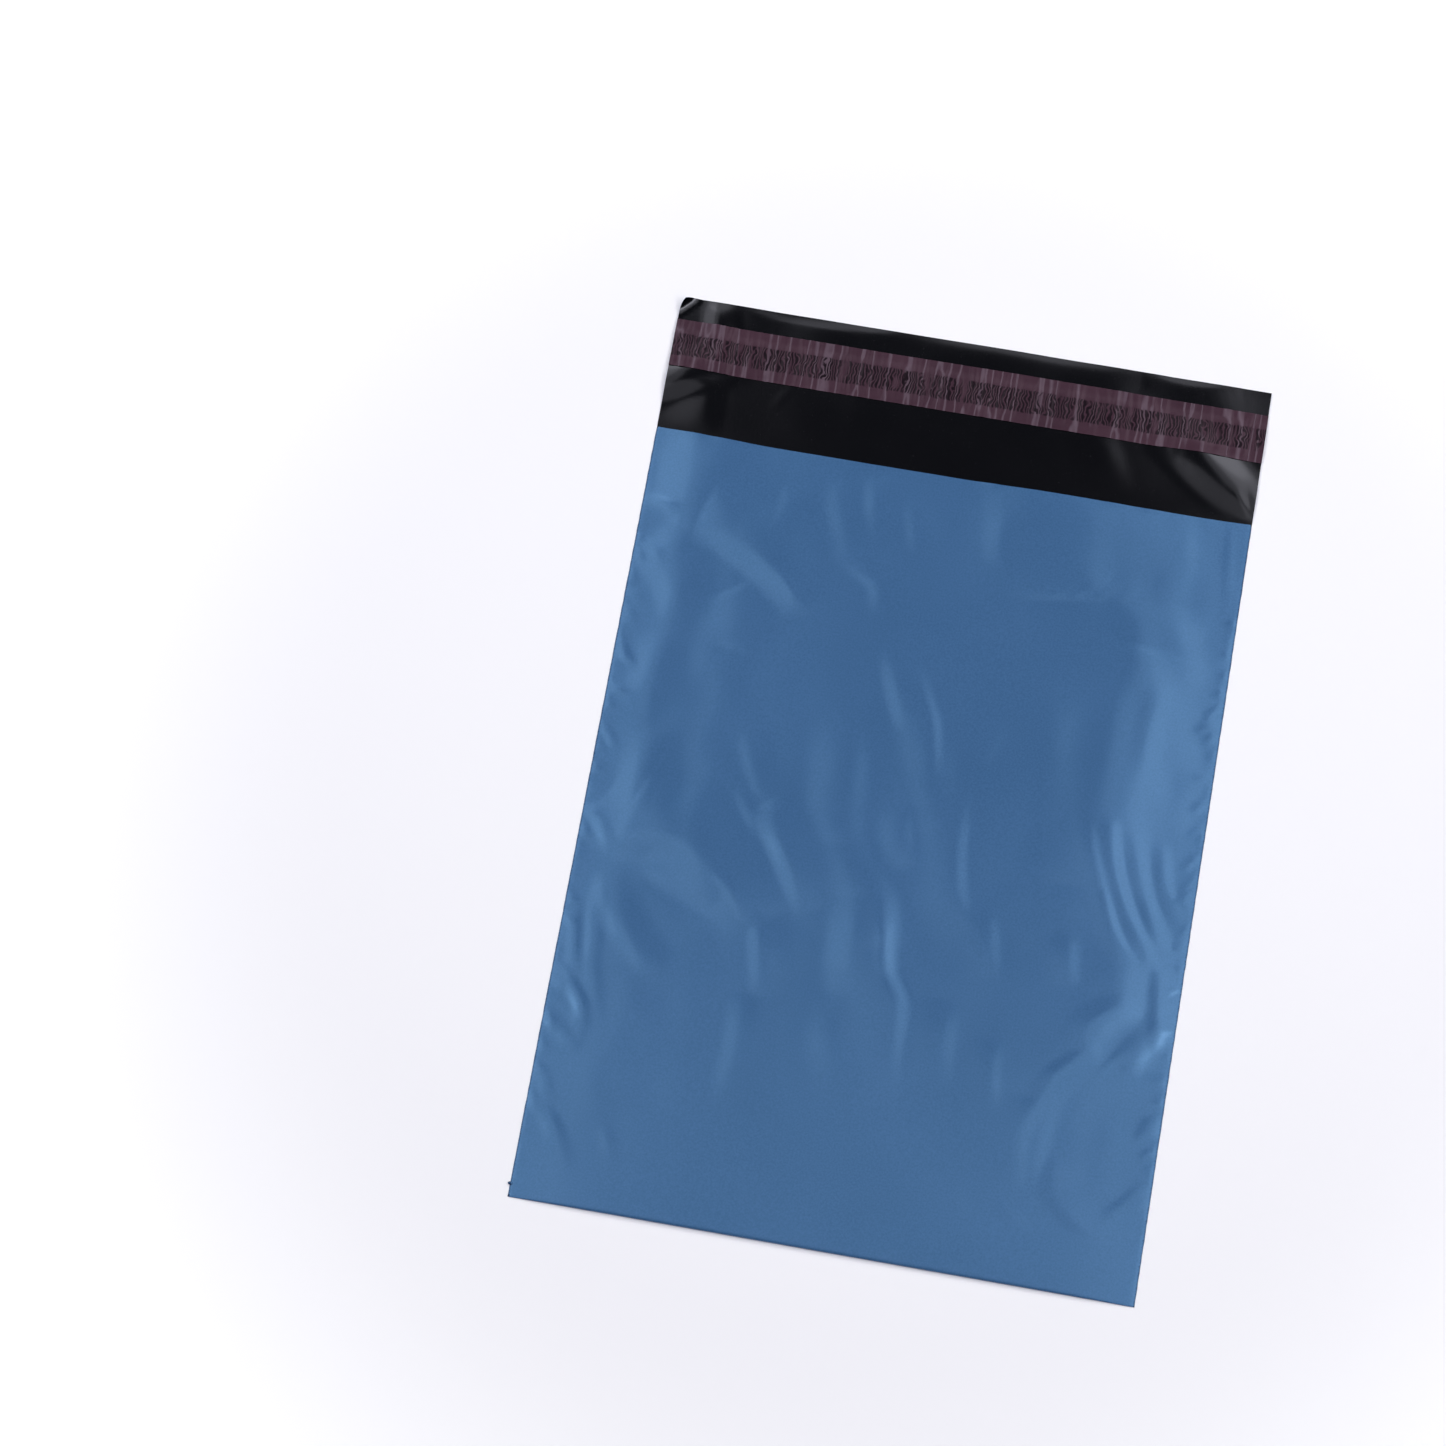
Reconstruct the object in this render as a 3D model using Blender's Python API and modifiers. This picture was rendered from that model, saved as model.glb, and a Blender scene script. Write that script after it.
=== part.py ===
"""A poly mailer bag lying on its back, mouth end away.

The bag is one sheet of film, blue outside and black inside. It is folded once across the
bottom, its side edges are welded together, and the back panel runs on past the mouth as
the closing lip. A strip of adhesive lies across the lip's black face, under a release liner.

Metres, +Z up. X runs across the bag and +Y from the bottom fold to the lip. The back panel
lies flat on z = 0 and the origin is under the middle of the bag.
"""

import math
from collections import namedtuple

import bmesh
import bpy
import numpy as np

# Cut and folded sizes
BAG_WIDTH = 0.230
POCKET_DEPTH = 0.301
LIP_LENGTH = 0.054
FILM_THICKNESS = 0.00006

# How the empty bag lies
FOLD_RADIUS = 0.0008
FOLD_PINCH = 8
CROWN_HEIGHT = 0.0075
MOUTH_GAP = 0.0052
CROWN_SQUARENESS = 5
FOLD_RISE = 6
MOUTH_FALL = 6
WELD_GRIP = 12
BUCKLE_TAPER = 0.5

# Gathers along the side welds
PUCKER_PITCH = 0.012
PUCKER_DEPTH = 0.5
PUCKER_REACH = 0.007
PUCKER_MEAN = 0.55
PUCKER_UNEVENNESS = 0.45
PUCKER_BEATS = (1.9, 0.6)
LEFT_PUCKER_PHASE = 0.4
RIGHT_PUCKER_PHASE = 1.7

# Lip: slow waves towards its free edge, and one corner rolled up
LIP_WAVE_HEIGHT = 0.0014
LIP_WAVES = 1.3
LIP_WAVE_PHASE = 0.9
ROLL_CUT = 0.009
ROLL_RADIUS = 0.0038

# Adhesive strip and release liner, measured from the mouth
ADHESIVE_FROM_MOUTH = 0.0295
ADHESIVE_WIDTH = 0.009
ADHESIVE_THICKNESS = 0.0001
ADHESIVE_END_MARGIN = 0.0015
LINER_FROM_MOUTH = 0.025
LINER_WIDTH = 0.0195
LINER_THICKNESS = 0.00004
SEATING_GAP = 0.0003

# Mesh: panel rows come two to a pucker, a crest and a hollow
COLUMNS = 38
EDGE_CROWDING = 0.6
PANEL_ROWS = 2 * round(POCKET_DEPTH / PUCKER_PITCH)
FOLD_ROWS = 4
LIP_ROWS = 8
STRIP_ROWS = 3
CURVE_SAMPLES = 24
MERGE_DISTANCE = 1e-6

# Finishes: linear colour and roughness
BLUE_FACE = ((0.058, 0.143, 0.300), 0.34)
BLACK_FACE = ((0.006, 0.006, 0.008), 0.36)
ADHESIVE_FACE = ((0.040, 0.028, 0.036), 0.30)
LINER_FACE = ((0.063, 0.039, 0.054), 0.38)

TOTAL_LENGTH = POCKET_DEPTH + LIP_LENGTH
HALF_WIDTH = BAG_WIDTH / 2 - FILM_THICKNESS
FOLD_Y = FILM_THICKNESS - TOTAL_LENGTH / 2

# A buckle is a soft ridge along a curve through three points. A point is (across, up).
# Across runs from -1 to 1 between the side edges. Up runs from 0 at the bottom fold to 1 at
# the mouth, and on the lip from 0 at the mouth to 1 at its free edge. Height and half-width
# are real sizes.
Buckle = namedtuple("Buckle", "start bend end height half_width")
PANEL_BUCKLES = (
    # left half, from the mouth down
    Buckle((-0.90, 1.00), (-0.93, 0.94), (-0.89, 0.87), 0.0016, 0.006),
    Buckle((-0.27, 0.99), (-0.24, 0.93), (-0.19, 0.88), 0.0010, 0.005),
    Buckle((-0.84, 0.89), (-0.62, 0.86), (-0.40, 0.78), 0.0016, 0.008),
    Buckle((-0.34, 0.87), (-0.22, 0.84), (-0.14, 0.78), 0.0008, 0.006),
    Buckle((-0.97, 0.82), (-0.86, 0.80), (-0.82, 0.75), 0.0012, 0.006),
    Buckle((-0.98, 0.48), (-0.74, 0.47), (-0.55, 0.39), 0.0022, 0.009),
    Buckle((-0.52, 0.61), (-0.48, 0.57), (-0.44, 0.54), 0.0008, 0.005),
    Buckle((-0.45, 0.53), (-0.34, 0.47), (-0.22, 0.39), 0.0018, 0.006),
    Buckle((-0.58, 0.44), (-0.46, 0.40), (-0.33, 0.28), 0.0016, 0.005),
    Buckle((-0.90, 0.41), (-0.80, 0.33), (-0.68, 0.30), 0.0012, 0.006),
    Buckle((-0.96, 0.36), (-0.92, 0.27), (-0.84, 0.21), 0.0020, 0.006),
    Buckle((-0.99, 0.17), (-0.93, 0.10), (-0.84, 0.05), 0.0018, 0.007),
    # down the middle
    Buckle((-0.13, 0.76), (-0.08, 0.71), (-0.03, 0.66), 0.0010, 0.006),
    Buckle((-0.20, 0.66), (-0.15, 0.56), (-0.16, 0.49), 0.0012, 0.007),
    Buckle((0.00, 0.74), (0.11, 0.66), (0.13, 0.56), 0.0015, 0.006),
    Buckle((-0.14, 0.50), (0.04, 0.43), (0.05, 0.37), 0.0018, 0.006),
    Buckle((0.03, 0.39), (0.12, 0.31), (0.15, 0.19), 0.0021, 0.006),
    Buckle((-0.10, 0.28), (-0.07, 0.24), (-0.01, 0.20), 0.0009, 0.006),
    Buckle((0.21, 0.58), (0.22, 0.46), (0.36, 0.38), 0.0015, 0.006),
    # right half, from the mouth down
    Buckle((0.34, 0.89), (0.62, 0.90), (0.76, 0.82), 0.0014, 0.007),
    Buckle((0.80, 0.78), (0.62, 0.68), (0.72, 0.54), 0.0024, 0.009),
    Buckle((0.69, 0.56), (0.74, 0.46), (0.95, 0.38), 0.0018, 0.006),
    Buckle((0.82, 0.58), (0.86, 0.48), (0.98, 0.43), 0.0014, 0.005),
    Buckle((0.95, 0.35), (0.74, 0.28), (0.60, 0.22), 0.0012, 0.007),
    Buckle((0.57, 0.22), (0.66, 0.10), (0.84, 0.07), 0.0018, 0.008),
)
LIP_BUCKLES = (
    Buckle((-1.00, 0.16), (-0.93, 0.26), (-0.84, 0.46), 0.0010, 0.005),
    Buckle((0.66, 0.48), (0.78, 0.36), (0.97, 0.10), 0.0008, 0.008),
)


def clear_scene():
    for old in list(bpy.data.objects):
        bpy.data.objects.remove(old, do_unlink=True)


def make_material(name, colour, roughness):
    material = bpy.data.materials.new(name)
    material.use_nodes = True
    shader = material.node_tree.nodes["Principled BSDF"]
    shader.inputs["Base Color"].default_value = (*colour, 1.0)
    shader.inputs["Roughness"].default_value = roughness
    shader.inputs["Metallic"].default_value = 0.0
    return material


def crowded(share):
    """Columns from -1 to 1, set closer together near the side welds."""
    return EDGE_CROWDING * math.sin(math.pi / 2 * share) + (1 - EDGE_CROWDING) * share


def fold_radius(across):
    """The bottom fold is round, and pinched flat at the welded corners."""
    return FOLD_RADIUS * (1 - across**FOLD_PINCH)


def curve_points(buckle, length):
    """Points along the quadratic curve that starts, bends and ends where the buckle does."""
    t = np.linspace(0, 1, CURVE_SAMPLES)[:, None]
    points = [np.array(point) for point in (buckle.start, buckle.bend, buckle.end)]
    along = (1 - t) ** 2 * points[0] + 2 * t * (1 - t) * points[1] + t**2 * points[2]
    return along * (HALF_WIDTH, length)


PANEL_CURVES = [curve_points(buckle, POCKET_DEPTH) for buckle in PANEL_BUCKLES]
LIP_CURVES = [curve_points(buckle, LIP_LENGTH) for buckle in LIP_BUCKLES]


def buckle_height(here, buckles, curves):
    """How far the ridges lift the film at one point, dying out at their ends."""
    height = 0.0
    for buckle, curve in zip(buckles, curves):
        distances = np.linalg.norm(curve - here, axis=1)
        nearest = int(np.argmin(distances))
        taper = math.sin(math.pi * (nearest + 0.5) / CURVE_SAMPLES) ** BUCKLE_TAPER
        height += buckle.height * taper * math.exp(-((distances[nearest] / buckle.half_width) ** 2))
    return height


def pucker(across, up):
    """Crests and hollows that the weld gathers into the panel, uneven along each side."""
    from_weld = HALF_WIDTH * (1 - abs(across))
    along = up * POCKET_DEPTH / PUCKER_PITCH
    phase = RIGHT_PUCKER_PHASE if across > 0 else LEFT_PUCKER_PHASE
    fast, slow = PUCKER_BEATS
    beat = math.sin(fast * along + phase) * math.sin(slow * along + 2 * phase)
    strength = PUCKER_MEAN + PUCKER_UNEVENNESS * beat
    return PUCKER_DEPTH * strength * math.cos(2 * math.pi * along) * math.exp(-from_weld / PUCKER_REACH)


def panel_gap(across, up):
    """The height of the front panel's inner face over the back panel's."""
    rise = 1 - (1 - up) ** FOLD_RISE
    crown = CROWN_HEIGHT + (MOUTH_GAP - CROWN_HEIGHT) * up**MOUTH_FALL
    pillow = crown * (1 - abs(across) ** CROWN_SQUARENESS)
    gap = 2 * fold_radius(across) * (1 - rise) + pillow * rise
    here = np.array((across * HALF_WIDTH, up * POCKET_DEPTH))
    clear_of_weld = 1 - abs(across) ** WELD_GRIP
    buckles = buckle_height(here, PANEL_BUCKLES, PANEL_CURVES) * rise * clear_of_weld
    return gap * (1 + pucker(across, up) * rise) + buckles


def on_lip(x, beyond_mouth):
    """The place of a point of the flat lip's black face, once the lip lies as it does."""
    share = beyond_mouth / LIP_LENGTH
    wave = 0.5 + 0.5 * math.sin(math.pi * LIP_WAVES * 2 * x / BAG_WIDTH + LIP_WAVE_PHASE)
    buckles = buckle_height(np.array((x, beyond_mouth)), LIP_BUCKLES, LIP_CURVES)
    lift = LIP_WAVE_HEIGHT * share**2 * wave + buckles * math.sin(math.pi / 2 * share)
    past_roll = (beyond_mouth - LIP_LENGTH - x - HALF_WIDTH + ROLL_CUT) / math.sqrt(2)
    rolled = max(0.0, past_roll)
    angle = rolled / ROLL_RADIUS
    drawn_in = (rolled - ROLL_RADIUS * math.sin(angle)) / math.sqrt(2)
    return (
        x + drawn_in,
        FOLD_Y + POCKET_DEPTH + beyond_mouth - drawn_in,
        FILM_THICKNESS + lift + ROLL_RADIUS * (1 - math.cos(angle)),
    )


def folded(across, row):
    """The place of one point of the blank. Rows run from the lip's free edge, down the
    back panel, round the bottom fold and up the front panel to the mouth."""
    x = across * HALF_WIDTH
    if row <= LIP_ROWS:
        share = math.sin(math.pi / 2 * (1 - row / LIP_ROWS))
        return on_lip(x, (LIP_LENGTH - FILM_THICKNESS) * share)
    radius = fold_radius(across)
    row -= LIP_ROWS
    if row <= PANEL_ROWS:
        up = 1 - row / PANEL_ROWS
        return x, FOLD_Y + radius + (POCKET_DEPTH - radius) * up, FILM_THICKNESS
    row -= PANEL_ROWS
    if row < FOLD_ROWS:
        turn = math.pi * row / FOLD_ROWS
        return (
            x,
            FOLD_Y + radius * (1 - math.sin(turn)),
            FILM_THICKNESS + radius * (1 - math.cos(turn)),
        )
    up = (row - FOLD_ROWS) / PANEL_ROWS
    return x, FOLD_Y + radius + (POCKET_DEPTH - radius) * up, FILM_THICKNESS + panel_gap(across, up)


def flat_grid(name, columns, rows):
    """A grid whose points run from -1 to 1 across and from 0 to rows along."""
    bpy.ops.mesh.primitive_grid_add(x_subdivisions=columns, y_subdivisions=rows, size=2)
    sheet = bpy.context.object
    sheet.name = name
    sheet.data.name = name
    for vertex in sheet.data.vertices:
        vertex.co.y = round((vertex.co.y + 1) / 2 * rows)
    return sheet


def finish_sheet(sheet, thickness, materials):
    for material in materials:
        sheet.data.materials.append(material)
    wall = sheet.modifiers.new("wall", "SOLIDIFY")
    wall.thickness = thickness
    wall.offset = 1
    wall.use_even_offset = False
    wall.material_offset = len(materials) - 1
    sheet.data.shade_smooth()


def inside_back_panel(cell):
    """True for a cell of the blank that is in the back panel and not beside a weld."""
    in_rows = LIP_ROWS < cell.y < LIP_ROWS + PANEL_ROWS
    return in_rows and abs(cell.x) < 1 - 2 / COLUMNS


def make_film_bag():
    rows = LIP_ROWS + PANEL_ROWS + FOLD_ROWS + PANEL_ROWS
    film = flat_grid("film_bag", COLUMNS, rows)
    bm = bmesh.new()
    bm.from_mesh(film.data)
    edge_points = [v for v in bm.verts if abs(v.co.x) > 1 - MERGE_DISTANCE]
    back_faces = [f for f in bm.faces if inside_back_panel(f.calc_center_median())]
    for vertex in bm.verts:
        vertex.co = folded(crowded(vertex.co.x), round(vertex.co.y))
    # the back panel is flat, so only the column along each weld needs its rows
    bmesh.ops.dissolve_faces(bm, faces=back_faces, use_verts=False)
    bmesh.ops.remove_doubles(bm, verts=edge_points, dist=MERGE_DISTANCE)
    bmesh.ops.triangulate(bm, faces=[f for f in bm.faces if len(f.verts) > 4])
    bm.to_mesh(film.data)
    bm.free()
    black = make_material("black_film_face", *BLACK_FACE)
    blue = make_material("blue_film_face", *BLUE_FACE)
    finish_sheet(film, FILM_THICKNESS, (blue, black))
    return film


def make_lip_strip(name, from_mouth, width, end_margin, height, thickness, material):
    """A thin strip straight across the lip, following it at a height over its black face."""
    strip = flat_grid(name, COLUMNS, STRIP_ROWS)
    half = HALF_WIDTH - end_margin
    for vertex in strip.data.vertices:
        beyond_mouth = from_mouth + width * vertex.co.y / STRIP_ROWS
        x, y, z = on_lip(crowded(vertex.co.x) * half, beyond_mouth)
        vertex.co = (x, y, z + height)
    finish_sheet(strip, thickness, (material,))
    return strip


def make_adhesive_strip():
    return make_lip_strip(
        "adhesive_strip",
        ADHESIVE_FROM_MOUTH,
        ADHESIVE_WIDTH,
        ADHESIVE_END_MARGIN,
        SEATING_GAP,
        ADHESIVE_THICKNESS,
        make_material("adhesive", *ADHESIVE_FACE),
    )


def make_release_liner():
    return make_lip_strip(
        "release_liner",
        LINER_FROM_MOUTH,
        LINER_WIDTH,
        0.0,
        SEATING_GAP + ADHESIVE_THICKNESS + SEATING_GAP,
        LINER_THICKNESS,
        make_material("liner_film", *LINER_FACE),
    )


def build():
    clear_scene()
    collection = bpy.data.collections.new("poly_mailer_bag")
    bpy.context.scene.collection.children.link(collection)
    bag = bpy.data.objects.new("bag_frame", None)
    collection.objects.link(bag)
    for piece in (make_film_bag(), make_adhesive_strip(), make_release_liner()):
        for holder in list(piece.users_collection):
            holder.objects.unlink(piece)
        collection.objects.link(piece)
        piece.parent = bag


build()
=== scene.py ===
# %% [markdown]
# # A poly mailer bag
#
# This bag is one sheet of thin film, blue outside and black inside. The sheet is folded
# once, its two sides are welded with a hot knife, and the back panel runs on past the mouth
# as a closing lip. A band of adhesive lies across the lip, under a mauve release liner.
#
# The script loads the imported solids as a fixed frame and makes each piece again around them,
# finer: the film with its creases, the adhesive and the liner. Lengths are in metres, +Z is up,
# X runs across the bag and +Y from the bottom fold to the lip.

import math

import bpy
import numpy as np
from mathutils import Euler, Matrix, Vector, noise


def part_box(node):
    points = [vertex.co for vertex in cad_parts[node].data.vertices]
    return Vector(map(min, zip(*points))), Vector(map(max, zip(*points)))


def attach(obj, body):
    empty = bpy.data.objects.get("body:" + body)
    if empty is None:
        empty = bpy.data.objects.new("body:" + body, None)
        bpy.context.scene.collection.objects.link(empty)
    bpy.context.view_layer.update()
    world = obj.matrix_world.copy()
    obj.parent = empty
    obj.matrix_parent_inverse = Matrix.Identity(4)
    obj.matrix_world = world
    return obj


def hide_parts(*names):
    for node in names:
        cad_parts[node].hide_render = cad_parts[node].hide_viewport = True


MM = 0.001
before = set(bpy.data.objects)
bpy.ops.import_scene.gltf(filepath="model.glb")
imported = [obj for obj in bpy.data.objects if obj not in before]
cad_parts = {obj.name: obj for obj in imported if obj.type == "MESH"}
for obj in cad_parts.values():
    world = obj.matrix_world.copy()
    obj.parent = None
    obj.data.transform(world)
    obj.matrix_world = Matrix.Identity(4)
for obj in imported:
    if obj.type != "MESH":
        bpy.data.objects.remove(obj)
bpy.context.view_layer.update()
film_low, film_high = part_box("film_bag")
print("bag in mm:", [round(size / MM, 1) for size in film_high - film_low])

# %% [markdown]
# ## The camera
#
# A flat bag shows its shape only from above, so the camera looks down on it, tilted a little
# and turned so that the bag lies askew in the frame. The angles were solved from the bag's
# own corners, whose real distances are known. A long lens keeps its sides nearly parallel.

# %% Place the camera
LENS_MM = 99.17
CAMERA_PLACE = (0.01221751, -0.38392041, 1.43755211)
CAMERA_TURN_DEGREES = (15.6936, 0.42228, 10.12848)

camera = bpy.data.objects.new("camera", bpy.data.cameras.new("camera"))
bpy.context.scene.collection.objects.link(camera)
camera.data.lens = LENS_MM
camera.data.sensor_width = 36
camera.location = CAMERA_PLACE
camera.rotation_euler = Euler([math.radians(angle) for angle in CAMERA_TURN_DEGREES])
bpy.context.scene.camera = camera
print("camera is", round(Vector(CAMERA_PLACE).length, 2), "m from the bag")

# %% [markdown]
# ## Shader maths
#
# Most of a procedural material is arithmetic on textures. Wired by hand it takes dozens of
# Math nodes, so a small class wraps a socket and turns each Python operator into one node.
# `add_node` makes any other node: its settings first, then the values or links of its inputs.


# %% Wrap a socket so that Python expressions become Math nodes
class Signal:
    """One output socket. An expression on signals and numbers adds its Math nodes."""

    def __init__(self, tree, socket):
        self.tree = tree
        self.socket = socket

    def maths(self, operation, *values):
        return add_node(self.tree, "ShaderNodeMath", {"operation": operation}, *values)

    def __add__(self, other):
        return self.maths("ADD", self, other)

    def __sub__(self, other):
        return self.maths("SUBTRACT", self, other)

    def __rsub__(self, other):
        return self.maths("SUBTRACT", other, self)

    def __mul__(self, other):
        return self.maths("MULTIPLY", self, other)

    __radd__ = __add__
    __rmul__ = __mul__

    def __abs__(self):
        return self.maths("ABSOLUTE", self)

    def sine(self):
        return self.maths("SINE", self)

    def larger(self, other):
        return self.maths("MAXIMUM", self, other)

    def ramp(self, start, end):
        """0 at start, 1 at end and smooth between them."""
        settings = {"interpolation_type": "SMOOTHSTEP"}
        return add_node(self.tree, "ShaderNodeMapRange", settings, self, start, end)


def feed(socket, value):
    """Links a signal to an input socket, or writes a constant there."""
    if isinstance(value, Signal):
        value.tree.links.new(value.socket, socket)
    else:
        socket.default_value = value


def add_node(tree, kind, settings, *values, output=0, **named):
    """A new node's output. Its settings are made first, then its inputs in order or by name."""
    node = tree.nodes.new(kind)
    for name, value in settings.items():
        setattr(node, name, value)
    inputs = [(node.inputs[i], value) for i, value in enumerate(values)]
    inputs += [(node.inputs[name.replace("_", " ")], value) for name, value in named.items()]
    for socket, value in inputs:
        feed(socket, value)
    return Signal(tree, node.outputs[output])


# %% [markdown]
# Colours are written as they look on a screen and turned into linear light. Places come in
# millimetres, so that a pattern's size can be read off its scale. Bump heights are in
# millimetres too.

# %% Colours, places and bumps for the materials
# The Mix node has sockets for every kind of data. These are its factor and its two colours.
COLOUR_MIX_INPUTS = (0, 6, 7)
COLOUR_MIX_OUTPUT = 2


def linear(red, green, blue):
    """Screen values from 0 to 255 as linear light, with full opacity."""
    shares = [value / 255 for value in (red, green, blue)]
    light = [s / 12.92 if s <= 0.04045 else ((s + 0.055) / 1.055) ** 2.4 for s in shares]
    return (*light, 1)


def blend(factor, first, second):
    """A colour between two, each one written out or a signal."""
    mix = factor.tree.nodes.new("ShaderNodeMix")
    mix.data_type = "RGBA"
    for index, value in zip(COLOUR_MIX_INPUTS, (factor, first, second)):
        feed(mix.inputs[index], value)
    return Signal(factor.tree, mix.outputs[COLOUR_MIX_OUTPUT])


def place_in_mm(tree):
    """The place on the piece as a vector, in millimetres."""
    place = add_node(tree, "ShaderNodeTexCoord", {}, output="Object")
    return add_node(tree, "ShaderNodeVectorMath", {"operation": "SCALE"}, place, Scale=1 / MM)


def along(place, axis):
    """The X, Y or Z of a place."""
    return add_node(place.tree, "ShaderNodeSeparateXYZ", {}, place, output=axis)


def stretched(place, scale):
    """The place scaled along each axis. A noise read there is long where the scale is small."""
    settings = {"operation": "MULTIPLY"}
    return add_node(place.tree, "ShaderNodeVectorMath", settings, place, scale)


def grain(place, size, detail=2.0):
    """Noise about 0 with features of this size in millimetres."""
    named = {"Scale": 1 / size, "Detail": detail}
    return add_node(place.tree, "ShaderNodeTexNoise", {}, place, **named) - 0.5


def open_material(material):
    """Turns its nodes on, and gives the tree and the shader to wire up."""
    material.use_nodes = True
    return material.node_tree, material.node_tree.nodes["Principled BSDF"]


def wire(shader, **values):
    """Feeds the shader's sockets by name. A height in millimetres reaches Normal as a bump."""
    if "Height" in values:
        height = values.pop("Height")
        values["Normal"] = add_node(
            height.tree, "ShaderNodeBump", {}, Distance=MM, Height=height
        )
    for name, value in values.items():
        feed(shader.inputs[name.replace("_", " ")], value)


# %% [markdown]
# ## Floor and lights
#
# Satin film is dark where it mirrors nothing and pale where a fold mirrors a lamp, so the
# lamps decide how the folds read. Flat film mirrors a patch over the bag, towards the lip,
# which stays dark. On each side of that patch hang three lamps, and a slope mirrors the one
# that its steepness leads to: a narrow weak rim at about 4 to 8 degrees, a big soft lamp at 8
# to 19, and beyond it a small spark for the steep gathers. A lamp over the camera serves the
# slopes that face the bottom of the bag, and one past the lip those that face the lip. The
# room itself stays dim, or it would turn the black film grey.
#
# The floor looks white to the camera and in reflections. It is a little whiter far from the
# bag, where less light falls, and plain enough near it to keep the bag's shadow. Near the bag
# its glow has a faint blue tint, painted light that the blue bag would throw onto it.

# %% Lay the floor
FLOOR_SIZE = 40.0
FLOOR_Z = -0.0001
FLOOR_ALBEDO = (0.80, 0.80, 0.81, 1)
FLOOR_ROUGHNESS = 0.9
# What the floor gives off to the camera and in reflections, near the bag and far from it.
# The faint blue near the bag is painted light, bounced from the blue bag
FLOOR_LIFT_NEAR = (0.07, 0.065, 0.12, 1)
FLOOR_LIFT_FAR = (0.5, 0.5, 0.5, 1)
NEAR_BAG = 0.20
FAR_FROM_BAG = 0.50

bpy.ops.mesh.primitive_plane_add(size=FLOOR_SIZE, location=(0, 0, FLOOR_Z))
floor = bpy.context.object
floor.name = "floor"
paint = bpy.data.materials.new("floor_paint")
tree, shader = open_material(paint)
camera_ray, glossy_ray, clear_ray = (
    add_node(tree, "ShaderNodeLightPath", {}, output=f"Is {kind} Ray")
    for kind in ("Camera", "Glossy", "Transmission")
)
seen = camera_ray.larger(glossy_ray).larger(clear_ray)
place = add_node(tree, "ShaderNodeTexCoord", {}, output="Object")
distance = add_node(tree, "ShaderNodeVectorMath", {"operation": "LENGTH"}, place, output="Value")
lift = blend(distance.ramp(NEAR_BAG, FAR_FROM_BAG), FLOOR_LIFT_NEAR, FLOOR_LIFT_FAR)
glow = blend(seen, (0, 0, 0, 1), lift)
wire(shader, Base_Color=FLOOR_ALBEDO, Roughness=FLOOR_ROUGHNESS, Specular_IOR_Level=0.0)
wire(shader, Emission_Color=glow, Emission_Strength=1.0)
floor.data.materials.append(paint)
print("floor is", FLOOR_SIZE, "m wide")

# %% Hang the lamps and fill the room
ROOM_STRENGTH = 0.035
# Name, place in metres, width and length in metres, watts
LAMPS = (
    ("left_rim", (-0.35, 0.30, 1.40), (0.20, 1.4), 0.85),
    ("left_lamp", (-0.88, 0.46, 1.22), (0.86, 1.7), 10),
    ("right_rim", (0.33, 0.30, 1.40), (0.18, 1.4), 0.8),
    ("right_lamp", (0.85, 0.46, 1.22), (0.86, 1.7), 11.5),
    ("left_spark", (-1.00, -0.25, 1.20), (0.4, 0.7), 4.2),
    ("right_spark", (1.00, -0.25, 1.20), (0.4, 0.7), 4.6),
    ("camera_lamp", (0.0, -0.04, 1.65), (1.2, 0.65), 1.9),
    ("back_lamp", (0.0, 1.20, 1.20), (1.7, 0.5), 4.5),
)


def add_lamp(name, place, size, watts):
    """An area lamp that faces the bag, this wide along X and this long along Y.

    Its own axes are built here, because a plain turn towards the bag can leave its long side
    askew, and the film would mirror that.
    """
    lamp = bpy.data.objects.new(name, bpy.data.lights.new(name, "AREA"))
    bpy.context.scene.collection.objects.link(lamp)
    lamp.data.shape = "RECTANGLE"
    lamp.data.size, lamp.data.size_y = size
    lamp.data.energy = watts
    lamp.location = place
    back = Vector(place).normalized()
    side = Vector((0, 1, 0)).cross(back).normalized()
    lamp.rotation_euler = Matrix((side, back.cross(side), back)).transposed().to_euler()
    level = watts * place[2] / (math.pi**2 * Vector(place).length ** 3)
    print(name, "lights the floor to", round(level, 2))


for row in LAMPS:
    add_lamp(*row)

room = bpy.data.worlds.new("room")
room.use_nodes = True
background = room.node_tree.nodes["Background"]
background.inputs["Color"].default_value = (1, 1, 1, 1)
background.inputs["Strength"].default_value = ROOM_STRENGTH
bpy.context.scene.world = room
bpy.context.scene.view_settings.view_transform = "Standard"

# %% [markdown]
# ## The blank
#
# The real bag starts as a flat sheet, so the model does too: one grid primitive, whose points
# are then moved to where the folded film has them. Rows run from the lip's free edge down the
# back, round the bottom fold and up the front to the mouth. Columns crowd towards the side
# welds, where the finest gathers are. Places on the bag are given as on a cutting mat:
# millimetres across from the middle, and millimetres up from the bottom fold.

# %% Sizes of the sheet, in millimetres
FILM = 0.06
WIDTH = (film_high.x - film_low.x) / MM
LENGTH = (film_high.y - film_low.y) / MM
POCKET = 301.0
LIP = LENGTH - POCKET
HALF = WIDTH / 2 - FILM
FOLD_RADIUS = 0.8
# How high the front panel stands over the back, and how far the mouth's middle is drawn in
CROWN = 3.6
MOUTH_GAP = 3.0
MOUTH_DRAWN_IN = 1.5

# Faces of the grid, and how strongly its columns crowd towards the welds
COLUMNS = 160
CROWDING = 0.35
PANEL_ROWS = 240
FOLD_ROWS = 8
LIP_ROWS = 34
ROWS = LIP_ROWS + PANEL_ROWS + FOLD_ROWS + PANEL_ROWS
print("sheet cut", round(WIDTH), "by", round(LENGTH + POCKET), "mm")
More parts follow.
